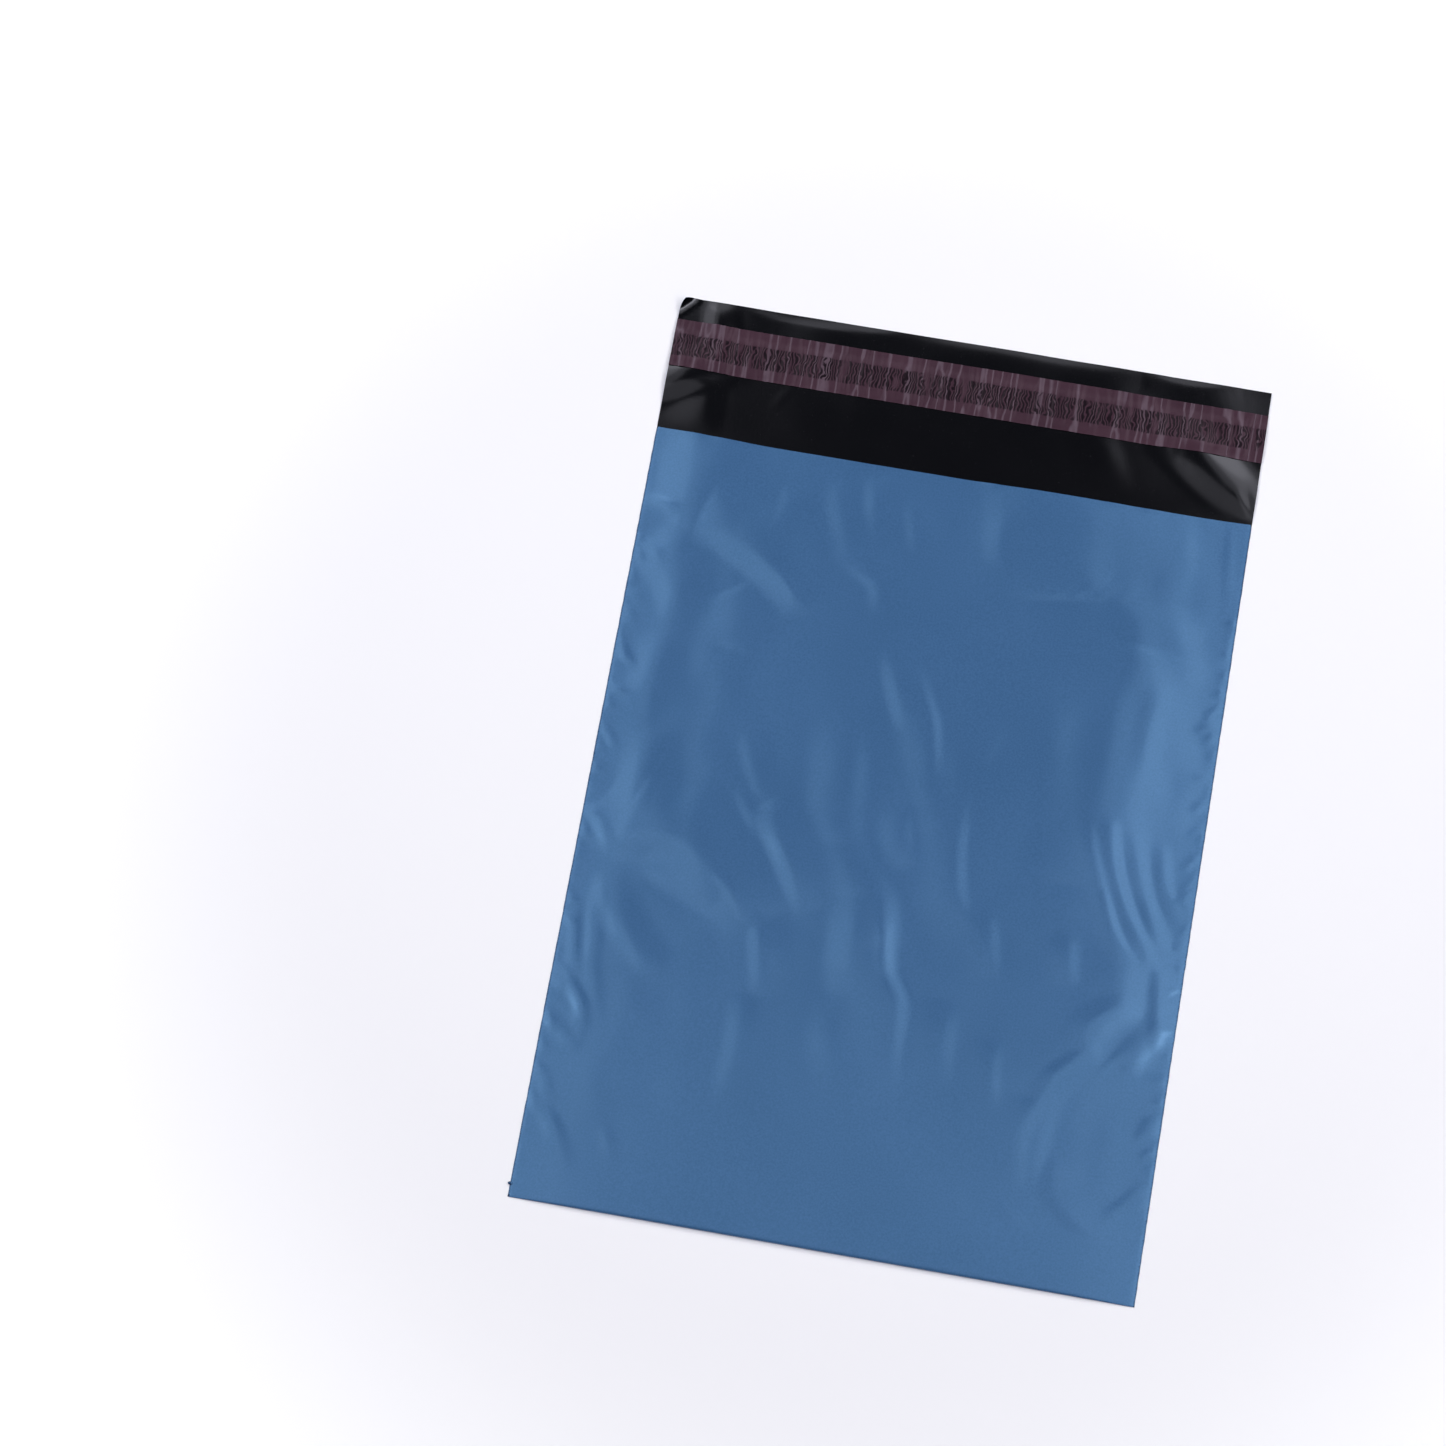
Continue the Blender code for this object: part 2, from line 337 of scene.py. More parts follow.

# %% [markdown]
# ## Creases
#
# A crease in film is a soft ridge: a rounded crest with a slope on each side that runs out
# flat. Each one follows a smooth curve through a few given points, and has its own
# height and its own width on either side, because one side is usually steeper. Film catches
# light on its slopes, so a steep narrow side reads as a bright thread and a wide one as sheen.

# %% Describe a crease and measure how far each point of the film lies from it
CREASE_TAPER = 0.7
EXTRA_SAMPLES = 8
JUST_SHORT = 1e-6


def smooth_curve(points):
    """Points 1 mm apart along a Catmull-Rom curve through the given ones, and its directions."""
    p = np.array(points, float)
    samples = EXTRA_SAMPLES + int(np.linalg.norm(np.diff(p, axis=0), axis=1).sum())
    p = np.vstack([2 * p[0] - p[1], p, 2 * p[-1] - p[-2]])
    t = np.linspace(0, len(points) - 1 - JUST_SHORT, samples)
    i = t.astype(int)
    f = (t - i)[:, None]
    a, b, c, d = p[i], p[i + 1], p[i + 2], p[i + 3]
    squared, cubed = 2 * a - 5 * b + 4 * c - d, 3 * b - a - 3 * c + d
    curve = 0.5 * (2 * b + (c - a) * f + squared * f**2 + cubed * f**3)
    way = np.gradient(curve, axis=0)
    return curve, way / np.linalg.norm(way, axis=1)[:, None]


def crease(across, up, points, height, left, right):
    """The lift that one crease gives at each place. Left and right are its widths on either
    side of someone who walks along it."""
    curve, way = smooth_curve(points)
    reach = max(left, right)
    low, high = curve.min(axis=0) - reach, curve.max(axis=0) + reach
    near = (across > low[0]) & (across < high[0]) & (up > low[1]) & (up < high[1])
    here = np.stack([across[near], up[near]], axis=1)
    to_curve = here[:, None, :] - curve[None]
    index = np.argmin((to_curve**2).sum(axis=2), axis=1)
    offset = to_curve[np.arange(len(here)), index]
    way = way[index]
    beside = way[:, 0] * offset[:, 1] - way[:, 1] * offset[:, 0]
    past_end = (offset * way).sum(axis=1) * ((index == 0) | (index == len(curve) - 1))
    taper = np.sin(np.pi * (index + 0.5) / len(curve)) ** CREASE_TAPER
    away = np.hypot(beside, past_end) / np.where(beside > 0, left, right)
    lift = np.zeros(len(across))
    lift[near] = height * taper * (0.5 + 0.5 * np.cos(np.pi * np.minimum(away, 1)))
    return lift


# %% Creases of the front panel, in millimetres across and up
# Each row: points along the crest, height, width to its left, width to its right.
PANEL_CREASES = (
    # upper left
    (((-98, 314), (-98, 287), (-100, 262)), 1.3, 30, 17),
    (((-116, 272), (-108, 271.5), (-101, 270)), 0.9, 3, 3.5),
    (((-115, 256), (-109, 254), (-104, 250)), 0.5, 3, 4),
    (((-41, 292), (-39, 280), (-32, 268)), 0.45, 12, 8),
    (((-28.5, 296), (-26, 282), (-21, 269)), 0.6, 12, 7),
    (((-14, 288), (-10, 277), (-7, 267)), 0.47, 12, 6),
    (((-60, 286), (-60, 277), (-62, 267)), 0.27, 12, 5),
    (((-92, 268), (-78, 264), (-64, 256.5), (-54, 247), (-44, 236)), 1.62, 24, 13),
    (((-60, 252), (-54, 246.5), (-48, 239)), 0.34, 3, 3),
    (((-40, 263), (-27, 258), (-19.5, 252), (-18, 240)), 0.68, 16, 7),
    (((-114, 252), (-104, 247), (-96, 239), (-91.5, 226)), 0.9, 16, 11),
    (((-78, 240), (-72, 231), (-74, 218)), 0.68, 18, 14),
    (((-13, 228), (-7, 213), (-1, 198)), 0.54, 12, 6),
    # left edge, upper
    (((-99, 220), (-100, 204), (-103, 188)), 0.5, 16, 11),
    (((-98, 182), (-96, 165), (-99, 148)), 0.6, 18, 13),
    # left middle
    (((-60, 187), (-55, 175), (-48, 162)), 0.3, 11, 5),
    (((-58, 163), (-53, 155), (-48, 146)), 0.34, 5, 3.5),
    (((-50, 160), (-42, 149), (-34, 137), (-25, 122)), 1.15, 16, 6.5),
    (((-110, 151), (-98, 143), (-80, 143), (-66, 134), (-56, 125), (-45, 112)), 1.76, 26, 14),
    (((-63, 132), (-54, 123.5), (-45, 112)), 0.41, 5, 3),
    (((-88, 132), (-75, 126), (-60, 120)), 0.61, 10, 7),
    (((-43.5, 118), (-41, 106), (-37, 88)), 0.6, 10, 4.5),
    (((-35, 115), (-33.5, 105), (-31.5, 95)), 0.34, 6, 3.5),
    (((-12, 130), (-8, 115), (-9, 103)), 0.68, 8, 11),
    # left edge, lower
    (((-113, 150), (-107, 142), (-102, 134)), 0.5, 4, 4),
    (((-104, 125), (-98, 112), (-88, 100), (-76, 89)), 0.7, 12, 6),
    (((-105, 119), (-102.5, 101), (-101.5, 88), (-96, 70)), 0.55, 6, 5),
    (((-111, 112), (-109, 98), (-105.5, 82)), 0.9, 4, 5.5),
    (((-115, 84), (-107, 80.5), (-102, 74), (-99.5, 64)), 1.1, 4, 5),
    (((-109, 74), (-104, 67), (-98, 60)), 0.3, 2.5, 2.5),
    (((-115, 71), (-108, 64), (-100, 56)), 0.8, 5, 4.5),
    (((-116, 51), (-110, 44), (-107.5, 36)), 0.8, 4, 5),
    (((-115, 39), (-106, 30), (-101, 23), (-96, 13)), 1.2, 5, 6),
    (((-107.5, 13), (-107, 6), (-108, -1)), 0.7, 5, 7),
    # the long system down the middle
    (((-27, 199), (-21.5, 182), (-20, 166), (-19, 150)), 0.81, 12, 16),
    (((-22, 160), (-13, 143), (-2, 130), (4, 114)), 0.94, 13, 16),
    (((0, 132), (3, 117), (5, 104), (11, 93), (12, 78), (14, 56)), 1.28, 8, 24),
    (((2, 124), (3.5, 114), (5, 104)), 0.34, 3.5, 3),
    (((-3, 226), (3, 212), (7.5, 201), (9.5, 188), (11, 170)), 0.61, 5, 16),
    (((11, 196), (14, 180), (15, 160)), 0.41, 8, 14),
    (((2, 169), (4, 158), (8.5, 146)), 0.54, 5.5, 12),
    (((34, 206), (30, 196), (29, 186)), 0.27, 4.5, 8),
    (((23, 178), (23.5, 162), (24.5, 150), (27, 138), (34, 126)), 0.7, 6, 18),
    (((-9, 94), (-9, 78), (-6, 68), (-1, 56)), 0.68, 5.5, 12),
    (((-42.5, 88), (-41.5, 68), (-43, 48)), 0.68, 12, 8),
    (((30.5, 98), (30, 82), (33, 64)), 0.54, 8, 14),
    (((49.5, 86), (50, 74), (53, 60)), 0.41, 5, 12),
    (((39.5, 134), (42, 122), (45, 110)), 0.41, 5, 12),
    (((70, 130), (71.5, 121), (74, 112)), 0.47, 5, 10),
    # right half, from the mouth down
    (((40, 314), (41.5, 290), (46, 258)), 1.8, 72, 40),
    (((22, 290), (22, 279), (24, 268)), 0.27, 4, 8),
    (((89, 308), (90, 282), (93, 258)), 0.2, 8, 16),
    (((107.5, 306), (108.5, 285), (110.5, 262)), 0.2, 4, 3),
    (((80, 246), (76, 200), (79, 150)), 1.9, 36, 30),
    (((92, 232), (89, 216), (89, 196)), 0.4, 6, 8),
    (((71, 173), (76, 160), (81, 148), (88, 133), (99, 122)), 0.68, 3.5, 8),
    (((79, 177), (82, 163), (87, 150), (95, 136), (105, 123)), 0.88, 4, 6),
    (((89, 173), (93, 158), (99, 144), (109, 127)), 0.65, 4.5, 6),
    (((100, 170), (103, 156), (109, 145)), 0.45, 3.5, 5),
    (((106, 124), (107.5, 109), (110, 92)), 1.1, 8, 5),
    (((101, 107), (92, 105), (82, 98), (80, 88)), 0.68, 10, 7),
    (((87, 91), (78, 82), (71, 74), (67, 58)), 0.74, 10, 5),
    (((113, 104), (104, 94), (98.5, 83)), 0.9, 6, 10),
    (((97, 91), (92, 84), (88, 79)), 0.3, 3.5, 3),
    (((66, 68), (63.5, 52), (64.5, 34)), 0.88, 7, 16),
    (((73, 64), (71, 51), (70, 38)), 0.41, 5, 7),
    (((79.5, 48), (79, 37), (84, 29.5), (92, 25), (104, 24)), 1.01, 14, 5),
    (((100, 29), (107, 36), (115, 47)), 0.8, 4.5, 7),
    # the mouth edge turns up in places
    (((-113, 302), (-105, 302), (-96, 302)), 0.6, 3, 3.5),
    (((-93, 301.5), (-88, 301.5), (-80, 301.5)), 0.3, 3, 3),
    (((-70, 301.5), (-45, 301.5), (-15, 301.5)), 0.25, 3, 3),
    (((10, 301.5), (14, 301.5), (18, 301.5)), 0.4, 3, 3),
    (((58, 302), (63, 302), (67, 302)), 0.35, 3, 3),
    (((73, 302), (78, 302), (82, 302)), 0.4, 3, 3),
    # the line of an old fold low across the bag, with small dents on it
    (((-100, 25.5), (-40, 26), (20, 26), (100, 25.5)), 0.14, 1.6, 4),
    (((-86, 30), (-83, 26), (-81, 20)), 0.47, 4, 4),
    (((43, 30), (45, 26), (49, 21)), 0.41, 3, 3),
    (((61, 28), (64, 25), (71, 22)), 0.54, 3, 3.5),
    (((6, 28), (8, 25), (11, 22)), 0.27, 3, 3),
)
print(len(PANEL_CREASES), "creases on the front panel")

# %% [markdown]
# ## Gathers along the welds
#
# The hot knife shrinks the film where it seals it, so the panel beside the weld has too much
# film and buckles into short folds that run away from the edge. They come at uneven steps,
# so their places are drawn from a seeded random generator, and each is one more small crease.

# %% Scatter the gathers
# Ranges in millimetres. The slant is a share of the reach, and the bend one of the slant
GATHER_BOTTOM = 6.0
GATHER_TOP = 262.0
GATHER_STEP = (3.0, 9.0)
GATHER_REACH = (3.0, 10.0)
GATHER_HEIGHT = (0.12, 0.50)
GATHER_WIDTH = (1.8, 3.2)
GATHER_SLANT = (-1.1, -0.1)
GATHER_BEND = 0.4


def gathers(side, seed):
    """Short creases from one weld into the panel: side is -1 on the left and 1 on the right."""
    dice = np.random.default_rng(seed)
    found = []
    up = GATHER_BOTTOM
    while up < GATHER_TOP:
        reach = dice.uniform(*GATHER_REACH)
        slant = dice.uniform(*GATHER_SLANT) * reach
        weld = side * (HALF + 1)
        halfway = (weld - side * reach / 2, up + slant * GATHER_BEND)
        points = ((weld, up), halfway, (weld - side * reach, up + slant))
        height = dice.uniform(*GATHER_HEIGHT)
        found.append((points, height, *dice.uniform(*GATHER_WIDTH, size=2)))
        up += dice.uniform(*GATHER_STEP)
    return tuple(found)


LEFT_GATHERS = gathers(-1, 7)
RIGHT_GATHERS = gathers(1, 12)
print(len(LEFT_GATHERS), "gathers on the left,", len(RIGHT_GATHERS), "on the right")

# %% [markdown]
# ## The resting shape
#
# The empty bag holds a little air. Its front panel climbs straight from each weld to a
# shoulder and is nearly flat between the two, like a low table that is higher on the right.
# The left shoulder runs close beside its weld. The right one stands far from its weld at the
# bottom and at the mouth, and nearer to it in between, so the slope beside it is gentle and
# dim at both ends, steep and bright between them. The panel comes down a little to the mouth
# and turns under at the bottom in a soft fold. On top of that go slow random swells, the
# creases and the gathers.

# %% Work out the height of the front panel
# Where the shoulders lie, in millimetres across and up
LEFT_SHOULDER = (
    (-96, -5), (-96, 90), (-97, 160), (-98, 215), (-98, 256), (-98, 275), (-98, 310),
)
RIGHT_SHOULDER = (
    (25, -5), (45, 55), (84, 96), (92, 118), (82, 142), (73, 165), (71, 190), (73, 213),
    (79, 236), (79, 249), (73, 259), (60, 266), (48, 273), (41, 285), (39, 310),
)
SHOULDER_ROUNDING = 0.012
# The crown's height in the middle, as a share, and what it gains rightwards
CROWN_MIDDLE = 0.65
CROWN_LEAN = 0.35
# Powers: a higher one keeps a change closer to the fold, the mouth or the weld
FOLD_PINCH = 8
FOLD_RISE = 6
MOUTH_FALL = 6
WELD_GRIP = 12
GATHER_GRIP = 60
LEAST_GAP = 0.02
# Swells: height in millimetres, more of it at the welds, size, stretch up the bag, seed
SWELLS = ((0.35, 0, 70, 1, 3), (0.25, 0, 20, 0.4, 8), (0.08, 0.35, 11, 0.7, 14))


def fold_radius(share):
    """Of the bottom fold: round across the bag, and pinched flat at the welded corners."""
    return FOLD_RADIUS * (1 - share**FOLD_PINCH)


def swell(across, up, size, seed):
    """Slow smooth noise from -1 to 1, for a surface that is nowhere quite flat."""
    places = zip(across / size, up / size)
    return np.array([noise.noise(Vector((x, y, seed))) for x, y in places])


def shoulder(away, up, points):
    """Climbs from 0 at the weld, this far away, to 1 at the shoulder and stays there."""
    curve = smooth_curve(points)[0]
    reach = HALF - np.abs(np.interp(up, curve[:, 1], curve[:, 0]))
    climbed = away / reach
    return (1 + climbed - np.sqrt((1 - climbed) ** 2 + SHOULDER_ROUNDING)) / 2


def panel_height(across, up):
    """The height of the front panel's inner face over the back's, in millimetres."""
    share = across / HALF
    climb = up / POCKET
    rise = 1 - (1 - climb) ** FOLD_RISE
    crown = CROWN + (MOUTH_GAP - CROWN) * climb**MOUTH_FALL
    crown *= CROWN_MIDDLE + CROWN_LEAN * share
    table = shoulder(HALF + across, up, LEFT_SHOULDER)
    table *= shoulder(HALF - across, up, RIGHT_SHOULDER)
    height = 2 * fold_radius(share) * (1 - rise) + crown * np.maximum(table, 0) * rise
    inside = (1 - share**WELD_GRIP) * rise
    for base, at_welds, size, stretch, seed in SWELLS:
        strength = base + at_welds * share**4
        height += inside * strength * swell(across, stretch * up, size, seed)
    for row in PANEL_CREASES:
        height += inside * crease(across, up, *row)
    for row in LEFT_GATHERS + RIGHT_GATHERS:
        height += (1 - share**GATHER_GRIP) * rise * crease(across, up, *row)
    return np.maximum(height, LEAST_GAP * inside)


# %% [markdown]
# ## The lip
#
# The lip is the back panel alone, black side up. It lies nearly flat, waves a little under
# the liner, comes down to its free edge, has a few creases of its own, and one corner has
# rolled up. The roll bends the film round a diagonal cylinder: a point past the roll line
# keeps its distance along the film.

# %% Lay out the lip
LIP_WAVE = 1.4
LIP_WAVES = 1.3
LIP_WAVE_PHASE = 0.9
LIP_EDGE_FALL = 0.8
LIP_EASE = 5
LIP_SWELL = 0.3
LIP_SWELL_SIZE = 22
ROLL_CUT = 9.0
ROLL_RADIUS = 3.8
# Creases of the lip, in millimetres across and up from the mouth
LIP_CREASES = (
    (((-122, 12), (-112, 19.5), (-104, 24), (-90, 29)), 1.9, 12, 10),
    (((-99, 22), (-98.5, 10), (-98, -8)), 0.75, 9, 17),
    (((-100, 54), (-99, 44), (-96, 30)), 0.8, 10, 7),
    (((-20, 55), (-45, 50), (-75, 49), (-95, 52)), 0.4, 10, 5),
    (((76, 34), (90, 24), (104, 13), (118, 2)), 2.2, 14, 14),
    (((48, 28), (56, 16), (62, 2)), 0.4, 10, 16),
    (((66, 52), (84, 50), (104, 52)), 0.4, 5, 10),
    (((106, 12), (111, 6), (116, 1)), 0.5, 3, 4),
    (((-73, 15), (-69.5, 20), (-66, 25)), 0.08, 1.6, 1.6),
)


def lip_place(across, beyond):
    """Where the lip's black face lies at a place of the blank: x, y and z in millimetres."""
    share = beyond / LIP
    wave = 0.5 + 0.5 * np.sin(np.pi * LIP_WAVES * 2 * across / WIDTH + LIP_WAVE_PHASE)
    ease = 1 - (1 - np.clip(share, 0, 1)) ** LIP_EASE
    lift = LIP_WAVE * share**2 * (1 - LIP_EDGE_FALL * share**8) * wave
    lift += LIP_SWELL * ease * (1 + swell(across, beyond, LIP_SWELL_SIZE, 5))
    for row in LIP_CREASES:
        lift += ease * crease(across, beyond, *row)
    rolled = np.maximum(0, (beyond - LIP - across - HALF + ROLL_CUT) / math.sqrt(2))
    drawn_in = (rolled - ROLL_RADIUS * np.sin(rolled / ROLL_RADIUS)) / math.sqrt(2)
    lift += ROLL_RADIUS * (1 - np.cos(rolled / ROLL_RADIUS))
    return across + drawn_in, FILM - LENGTH / 2 + POCKET + beyond - drawn_in, FILM + lift


sample = np.linspace(-HALF, HALF, 200)
lip_edge = lip_place(sample, np.full_like(sample, LIP))[2]
print("lip's edge lies up to", round(float(lip_edge.max()), 1), "mm high")

# %% [markdown]
# ## Folding the film
#
# Now every point of the grid goes to its place at once, with one array for each coordinate.
# The knife leaves the welded edge slightly wavy.

# %% Work out where each point of the sheet goes
KNIFE_WANDER = 0.20
KNIFE_PITCH = 2.6
# Powers of the place across: the knife's wander keeps to the very edge
KNIFE_GRIP = 40
MOUTH_CURVE = 4


def knife_line(up, side):
    """How far inside the full width the knife cut the film, at each height up the bag."""
    wander = np.array([noise.noise(Vector((value / KNIFE_PITCH, 0, side))) for value in up])
    return KNIFE_WANDER * (0.5 + 0.5 * wander)


def folded_points(column, row):
    """The film's inner face, in metres. Column runs from -1 to 1, row from lip to mouth."""
    share = CROWDING * np.sin(np.pi / 2 * column) + (1 - CROWDING) * column
    across = share * HALF
    radius = fold_radius(share)
    x, y, z = across.copy(), np.zeros(len(row)), np.full(len(row), FILM)
    bottom = FILM - LENGTH / 2

    back = (row >= LIP_ROWS) & (row <= LIP_ROWS + PANEL_ROWS)
    climb = 1 - (row[back] - LIP_ROWS) / PANEL_ROWS
    y[back] = bottom + radius[back] + (POCKET - radius[back]) * climb

    fold_row = row - LIP_ROWS - PANEL_ROWS
    turning = (fold_row > 0) & (fold_row < FOLD_ROWS)
    turn = np.pi * fold_row[turning] / FOLD_ROWS
    y[turning] = bottom + radius[turning] * (1 - np.sin(turn))
    z[turning] += radius[turning] * (1 - np.cos(turn))

    front = fold_row >= FOLD_ROWS
    climb = (fold_row[front] - FOLD_ROWS) / PANEL_ROWS
    y[front] = bottom + radius[front] + (POCKET - radius[front]) * climb
    y[front] -= MOUTH_DRAWN_IN * (1 - share[front] ** MOUTH_CURVE) * climb**MOUTH_CURVE
    z[front] += panel_height(across[front], POCKET * climb)

    up = y - bottom
    for side in (-1, 1):
        at_edge = np.maximum(0, side * share) ** KNIFE_GRIP
        x -= side * at_edge * knife_line(up, side + 0.5)

    on_lip = row < LIP_ROWS
    beyond = (LIP - FILM) * (1 - row[on_lip] / LIP_ROWS)
    lip_x, y[on_lip], z[on_lip] = lip_place(across[on_lip], beyond)
    x[on_lip] += lip_x - across[on_lip]
    return np.stack([x, y, z], axis=1) * MM


def read_points(mesh):
    points = np.empty(len(mesh.vertices) * 3)
    mesh.vertices.foreach_get("co", points)
    return points.reshape(-1, 3)


def move_points(mesh, points):
    mesh.vertices.foreach_set("co", points.ravel())
    mesh.update()


# %% Add the grid and fold it
def add_grid(name, columns, rows):
    """A grid primitive from -1 to 1 both ways, alone selected and active."""
    bpy.ops.object.select_all(action="DESELECT")
    bpy.ops.mesh.primitive_grid_add(x_subdivisions=columns, y_subdivisions=rows, size=2)
    bpy.context.object.name = name
    return bpy.context.object


film = add_grid("film", COLUMNS, ROWS)
mesh = film.data
flat_sheet = read_points(mesh)
column = flat_sheet[:, 0]
row = np.rint((flat_sheet[:, 1] + 1) / 2 * ROWS)
move_points(mesh, folded_points(column, row))
print("film sheet has", len(mesh.vertices), "points")

# %% [markdown]
# ## Welding the sides
#
# Front and back meet at the welds, so merging the points of the two side columns seals the
# bag. The back lies flat and needs no inner points: its faces are dissolved into one, except
# for a column along each weld. That keeps the piece light where nothing bends.

# %% Dissolve the flat back and merge the welded edges
MERGE_DISTANCE = 1e-6
MOUTH_MARGIN = 0.5


def select_in_edit_mode(mesh, kind, mask):
    """Selects these points or faces alone, and leaves the mesh in edit mode."""
    bpy.ops.object.mode_set(mode="EDIT")
    bpy.ops.mesh.select_mode(type=kind)
    bpy.ops.mesh.select_all(action="DESELECT")
    bpy.ops.object.mode_set(mode="OBJECT")
    items = mesh.vertices if kind == "VERT" else mesh.polygons
    items.foreach_set("select", mask)
    bpy.ops.object.mode_set(mode="EDIT")


corners = np.empty(len(mesh.loops), np.int32)
mesh.loops.foreach_get("vertex_index", corners)
corners = corners.reshape(-1, 4)
middle_row = row[corners].mean(axis=1)
middle_column = np.abs(column[corners].mean(axis=1))
in_back = (middle_row > LIP_ROWS) & (middle_row < LIP_ROWS + PANEL_ROWS)
in_back &= middle_column < 1 - 2 / COLUMNS
select_in_edit_mode(mesh, "FACE", in_back)
bpy.ops.mesh.dissolve_faces()
bpy.ops.mesh.quads_convert_to_tris()
bpy.ops.object.mode_set(mode="OBJECT")

points = read_points(mesh) / MM
at_side = np.abs(points[:, 0]) > HALF - 1.5 * KNIFE_WANDER
at_side &= points[:, 1] < LENGTH / 2 - LIP + MOUTH_MARGIN
select_in_edit_mode(mesh, "VERT", at_side)
bpy.ops.mesh.remove_doubles(threshold=MERGE_DISTANCE)
bpy.ops.object.mode_set(mode="OBJECT")
print("after welding:", len(mesh.vertices), "points,", len(mesh.polygons), "faces")

# %% [markdown]
# A Solidify modifier gives the sheet its thickness, outwards from the inner face, so that
# the mouth and the lip end in a real edge. A small bead of melted film was pulled out where
# the knife left the lower left corner. An icosphere, squashed, is enough for it.

# %% Thicken the film and add the melted bead
# The bead's place across, up and above the floor, and its half sizes, in millimetres
BEAD_PLACE = (-HALF + 0.1, 5.0, 0.4)
BEAD_SIZE = (0.9, 0.6, 0.4)
SMOOTH_DEGREES = 40


def finish_sheet(piece, thickness):
    """Gives a sheet its wall, outwards, and smooths it except at its cut edges."""
    wall = piece.modifiers.new("wall", "SOLIDIFY")
    wall.thickness = thickness * MM
    wall.offset = 1
    wall.use_even_offset = False
    # The inner face takes the last material
    wall.material_offset = len(piece.data.materials) - 1
    bpy.context.view_layer.objects.active = piece
    bpy.ops.object.modifier_apply(modifier="wall")
    bpy.ops.object.shade_smooth_by_angle(angle=math.radians(SMOOTH_DEGREES))
    triangles = sum(len(face.vertices) - 2 for face in piece.data.polygons)
    print(piece.name, "has", triangles, "triangles")


film.data.materials.append(bpy.data.materials.new("blue_film"))
film.data.materials.append(bpy.data.materials.new("black_film"))
finish_sheet(film, FILM)

bpy.ops.object.select_all(action="DESELECT")
bead_at = Vector((BEAD_PLACE[0], BEAD_PLACE[1] - LENGTH / 2, BEAD_PLACE[2])) * MM
bpy.ops.mesh.primitive_ico_sphere_add(
    subdivisions=3, radius=MM, location=bead_at, scale=BEAD_SIZE
)
bead = bpy.context.object
bpy.ops.object.transform_apply(location=True, rotation=True, scale=True)
bpy.ops.object.shade_smooth()
bead.data.materials.append(film.data.materials[0])
film.select_set(True)
bpy.context.view_layer.objects.active = film
bpy.ops.object.join()

# %% [markdown]
# ## The film's two faces
#
# The film is blown in two layers, a blue one and a black one that nobody can see through.
# Blue film with a satin finish does not shine white: its pigment lies just under the surface
# and colours the sheen, so the specular tint is blue. A weak clear coat adds the little white
# that the brightest crests have. The base colour drifts with the thickness of the film, and
# along the weld the melt is darker, in an uneven thin line. The black face is a bit smoother.

# %% Blue outside
WELD_LINE = 0.75


def film_relief(place):
    """The unevenness of blown film in millimetres: slow waves and a fine grain."""
    return 0.016 * grain(place, 9) + 0.003 * grain(place, 0.8)


tree, shader = open_material(film.data.materials[0])
place = place_in_mm(tree)
# A slow drift of the colour with fine specks in it
drift = 0.7 * grain(place, 60) + 1.1 * grain(place, 0.7, detail=1)
blue = blend((0.5 + drift).ramp(0.0, 1.0), linear(54, 89, 131), linear(65, 100, 144))
# The dark line of melt, with an uneven inner side
serration = 0.9 * grain(place, 0.8)
weld = (abs(along(place, "X")) + serration).ramp(HALF - WELD_LINE, HALF - 0.3 * WELD_LINE)
colour = blend(weld, blue, linear(28, 48, 84))
roughness = 0.22 + 0.02 * grain(place, 30)
wire(shader, Base_Color=colour, Roughness=roughness, Height=film_relief(place))
wire(shader, Specular_Tint=(0.28, 0.60, 1.0, 1), Specular_IOR_Level=0.85)
wire(shader, Coat_Weight=0.10, Coat_Roughness=0.14)
print("blue film uses", len(tree.nodes), "nodes")

# %% Black inside
tree, shader = open_material(film.data.materials[1])
place = place_in_mm(tree)
# Specks of dust, where a fine noise passes a high mark
dust = grain(place, 0.5, detail=1).ramp(0.24, 0.30)
colour = blend(dust, (0.0018, 0.0020, 0.0032, 1), (0.02, 0.02, 0.024, 1))
roughness = 0.155 + 0.04 * grain(place, 30)
wire(shader, Base_Color=colour, Roughness=roughness, Height=film_relief(place))
wire(shader, Specular_Tint=(0.88, 0.88, 1.0, 1), Specular_IOR_Level=0.44)
print("black film uses", len(tree.nodes), "nodes")

# %% [markdown]
# ## Adhesive and release liner
#
# Hot-melt adhesive is spread in a band across the lip, and a thin siliconed film covers it
# until the bag is used. Both follow the lip, so they start as strips of the same kind: a grid
# laid over the lip's shape at a small height. The liner has shrunk less than the bag, so it
# buckles into many short cross wrinkles.

# %% Lay the adhesive band
ADHESIVE_START = 29.5
ADHESIVE_WIDTH = 9.0
ADHESIVE_SEAT = 0.15
ADHESIVE_THICKNESS = 0.1
ADHESIVE_LUMP = 0.04
ADHESIVE_LUMP_SIZE = 1.7
END_MARGIN = 1.5


def lay_on_lip(name, columns, rows, half, start, width, height_at):
    """A strip across the lip, following it at the height that height_at gives at each place."""
    strip = add_grid(name, columns, rows)
    flat_strip = read_points(strip.data)
    across = flat_strip[:, 0] * half
    beyond = start + width * (flat_strip[:, 1] + 1) / 2
    x, y, z = lip_place(across, beyond)
    move_points(strip.data, np.stack([x, y, z + height_at(across, beyond)], axis=1) * MM)
    return strip


def adhesive_height(across, beyond):
    return ADHESIVE_SEAT + ADHESIVE_LUMP * swell(across, beyond, ADHESIVE_LUMP_SIZE, 2)


adhesive = lay_on_lip(
    "adhesive",
    columns=240,
    rows=10,
    half=HALF - END_MARGIN,
    start=ADHESIVE_START,
    width=ADHESIVE_WIDTH,
    height_at=adhesive_height,
)
adhesive.data.materials.append(bpy.data.materials.new("tacky_adhesive"))
finish_sheet(adhesive, ADHESIVE_THICKNESS)

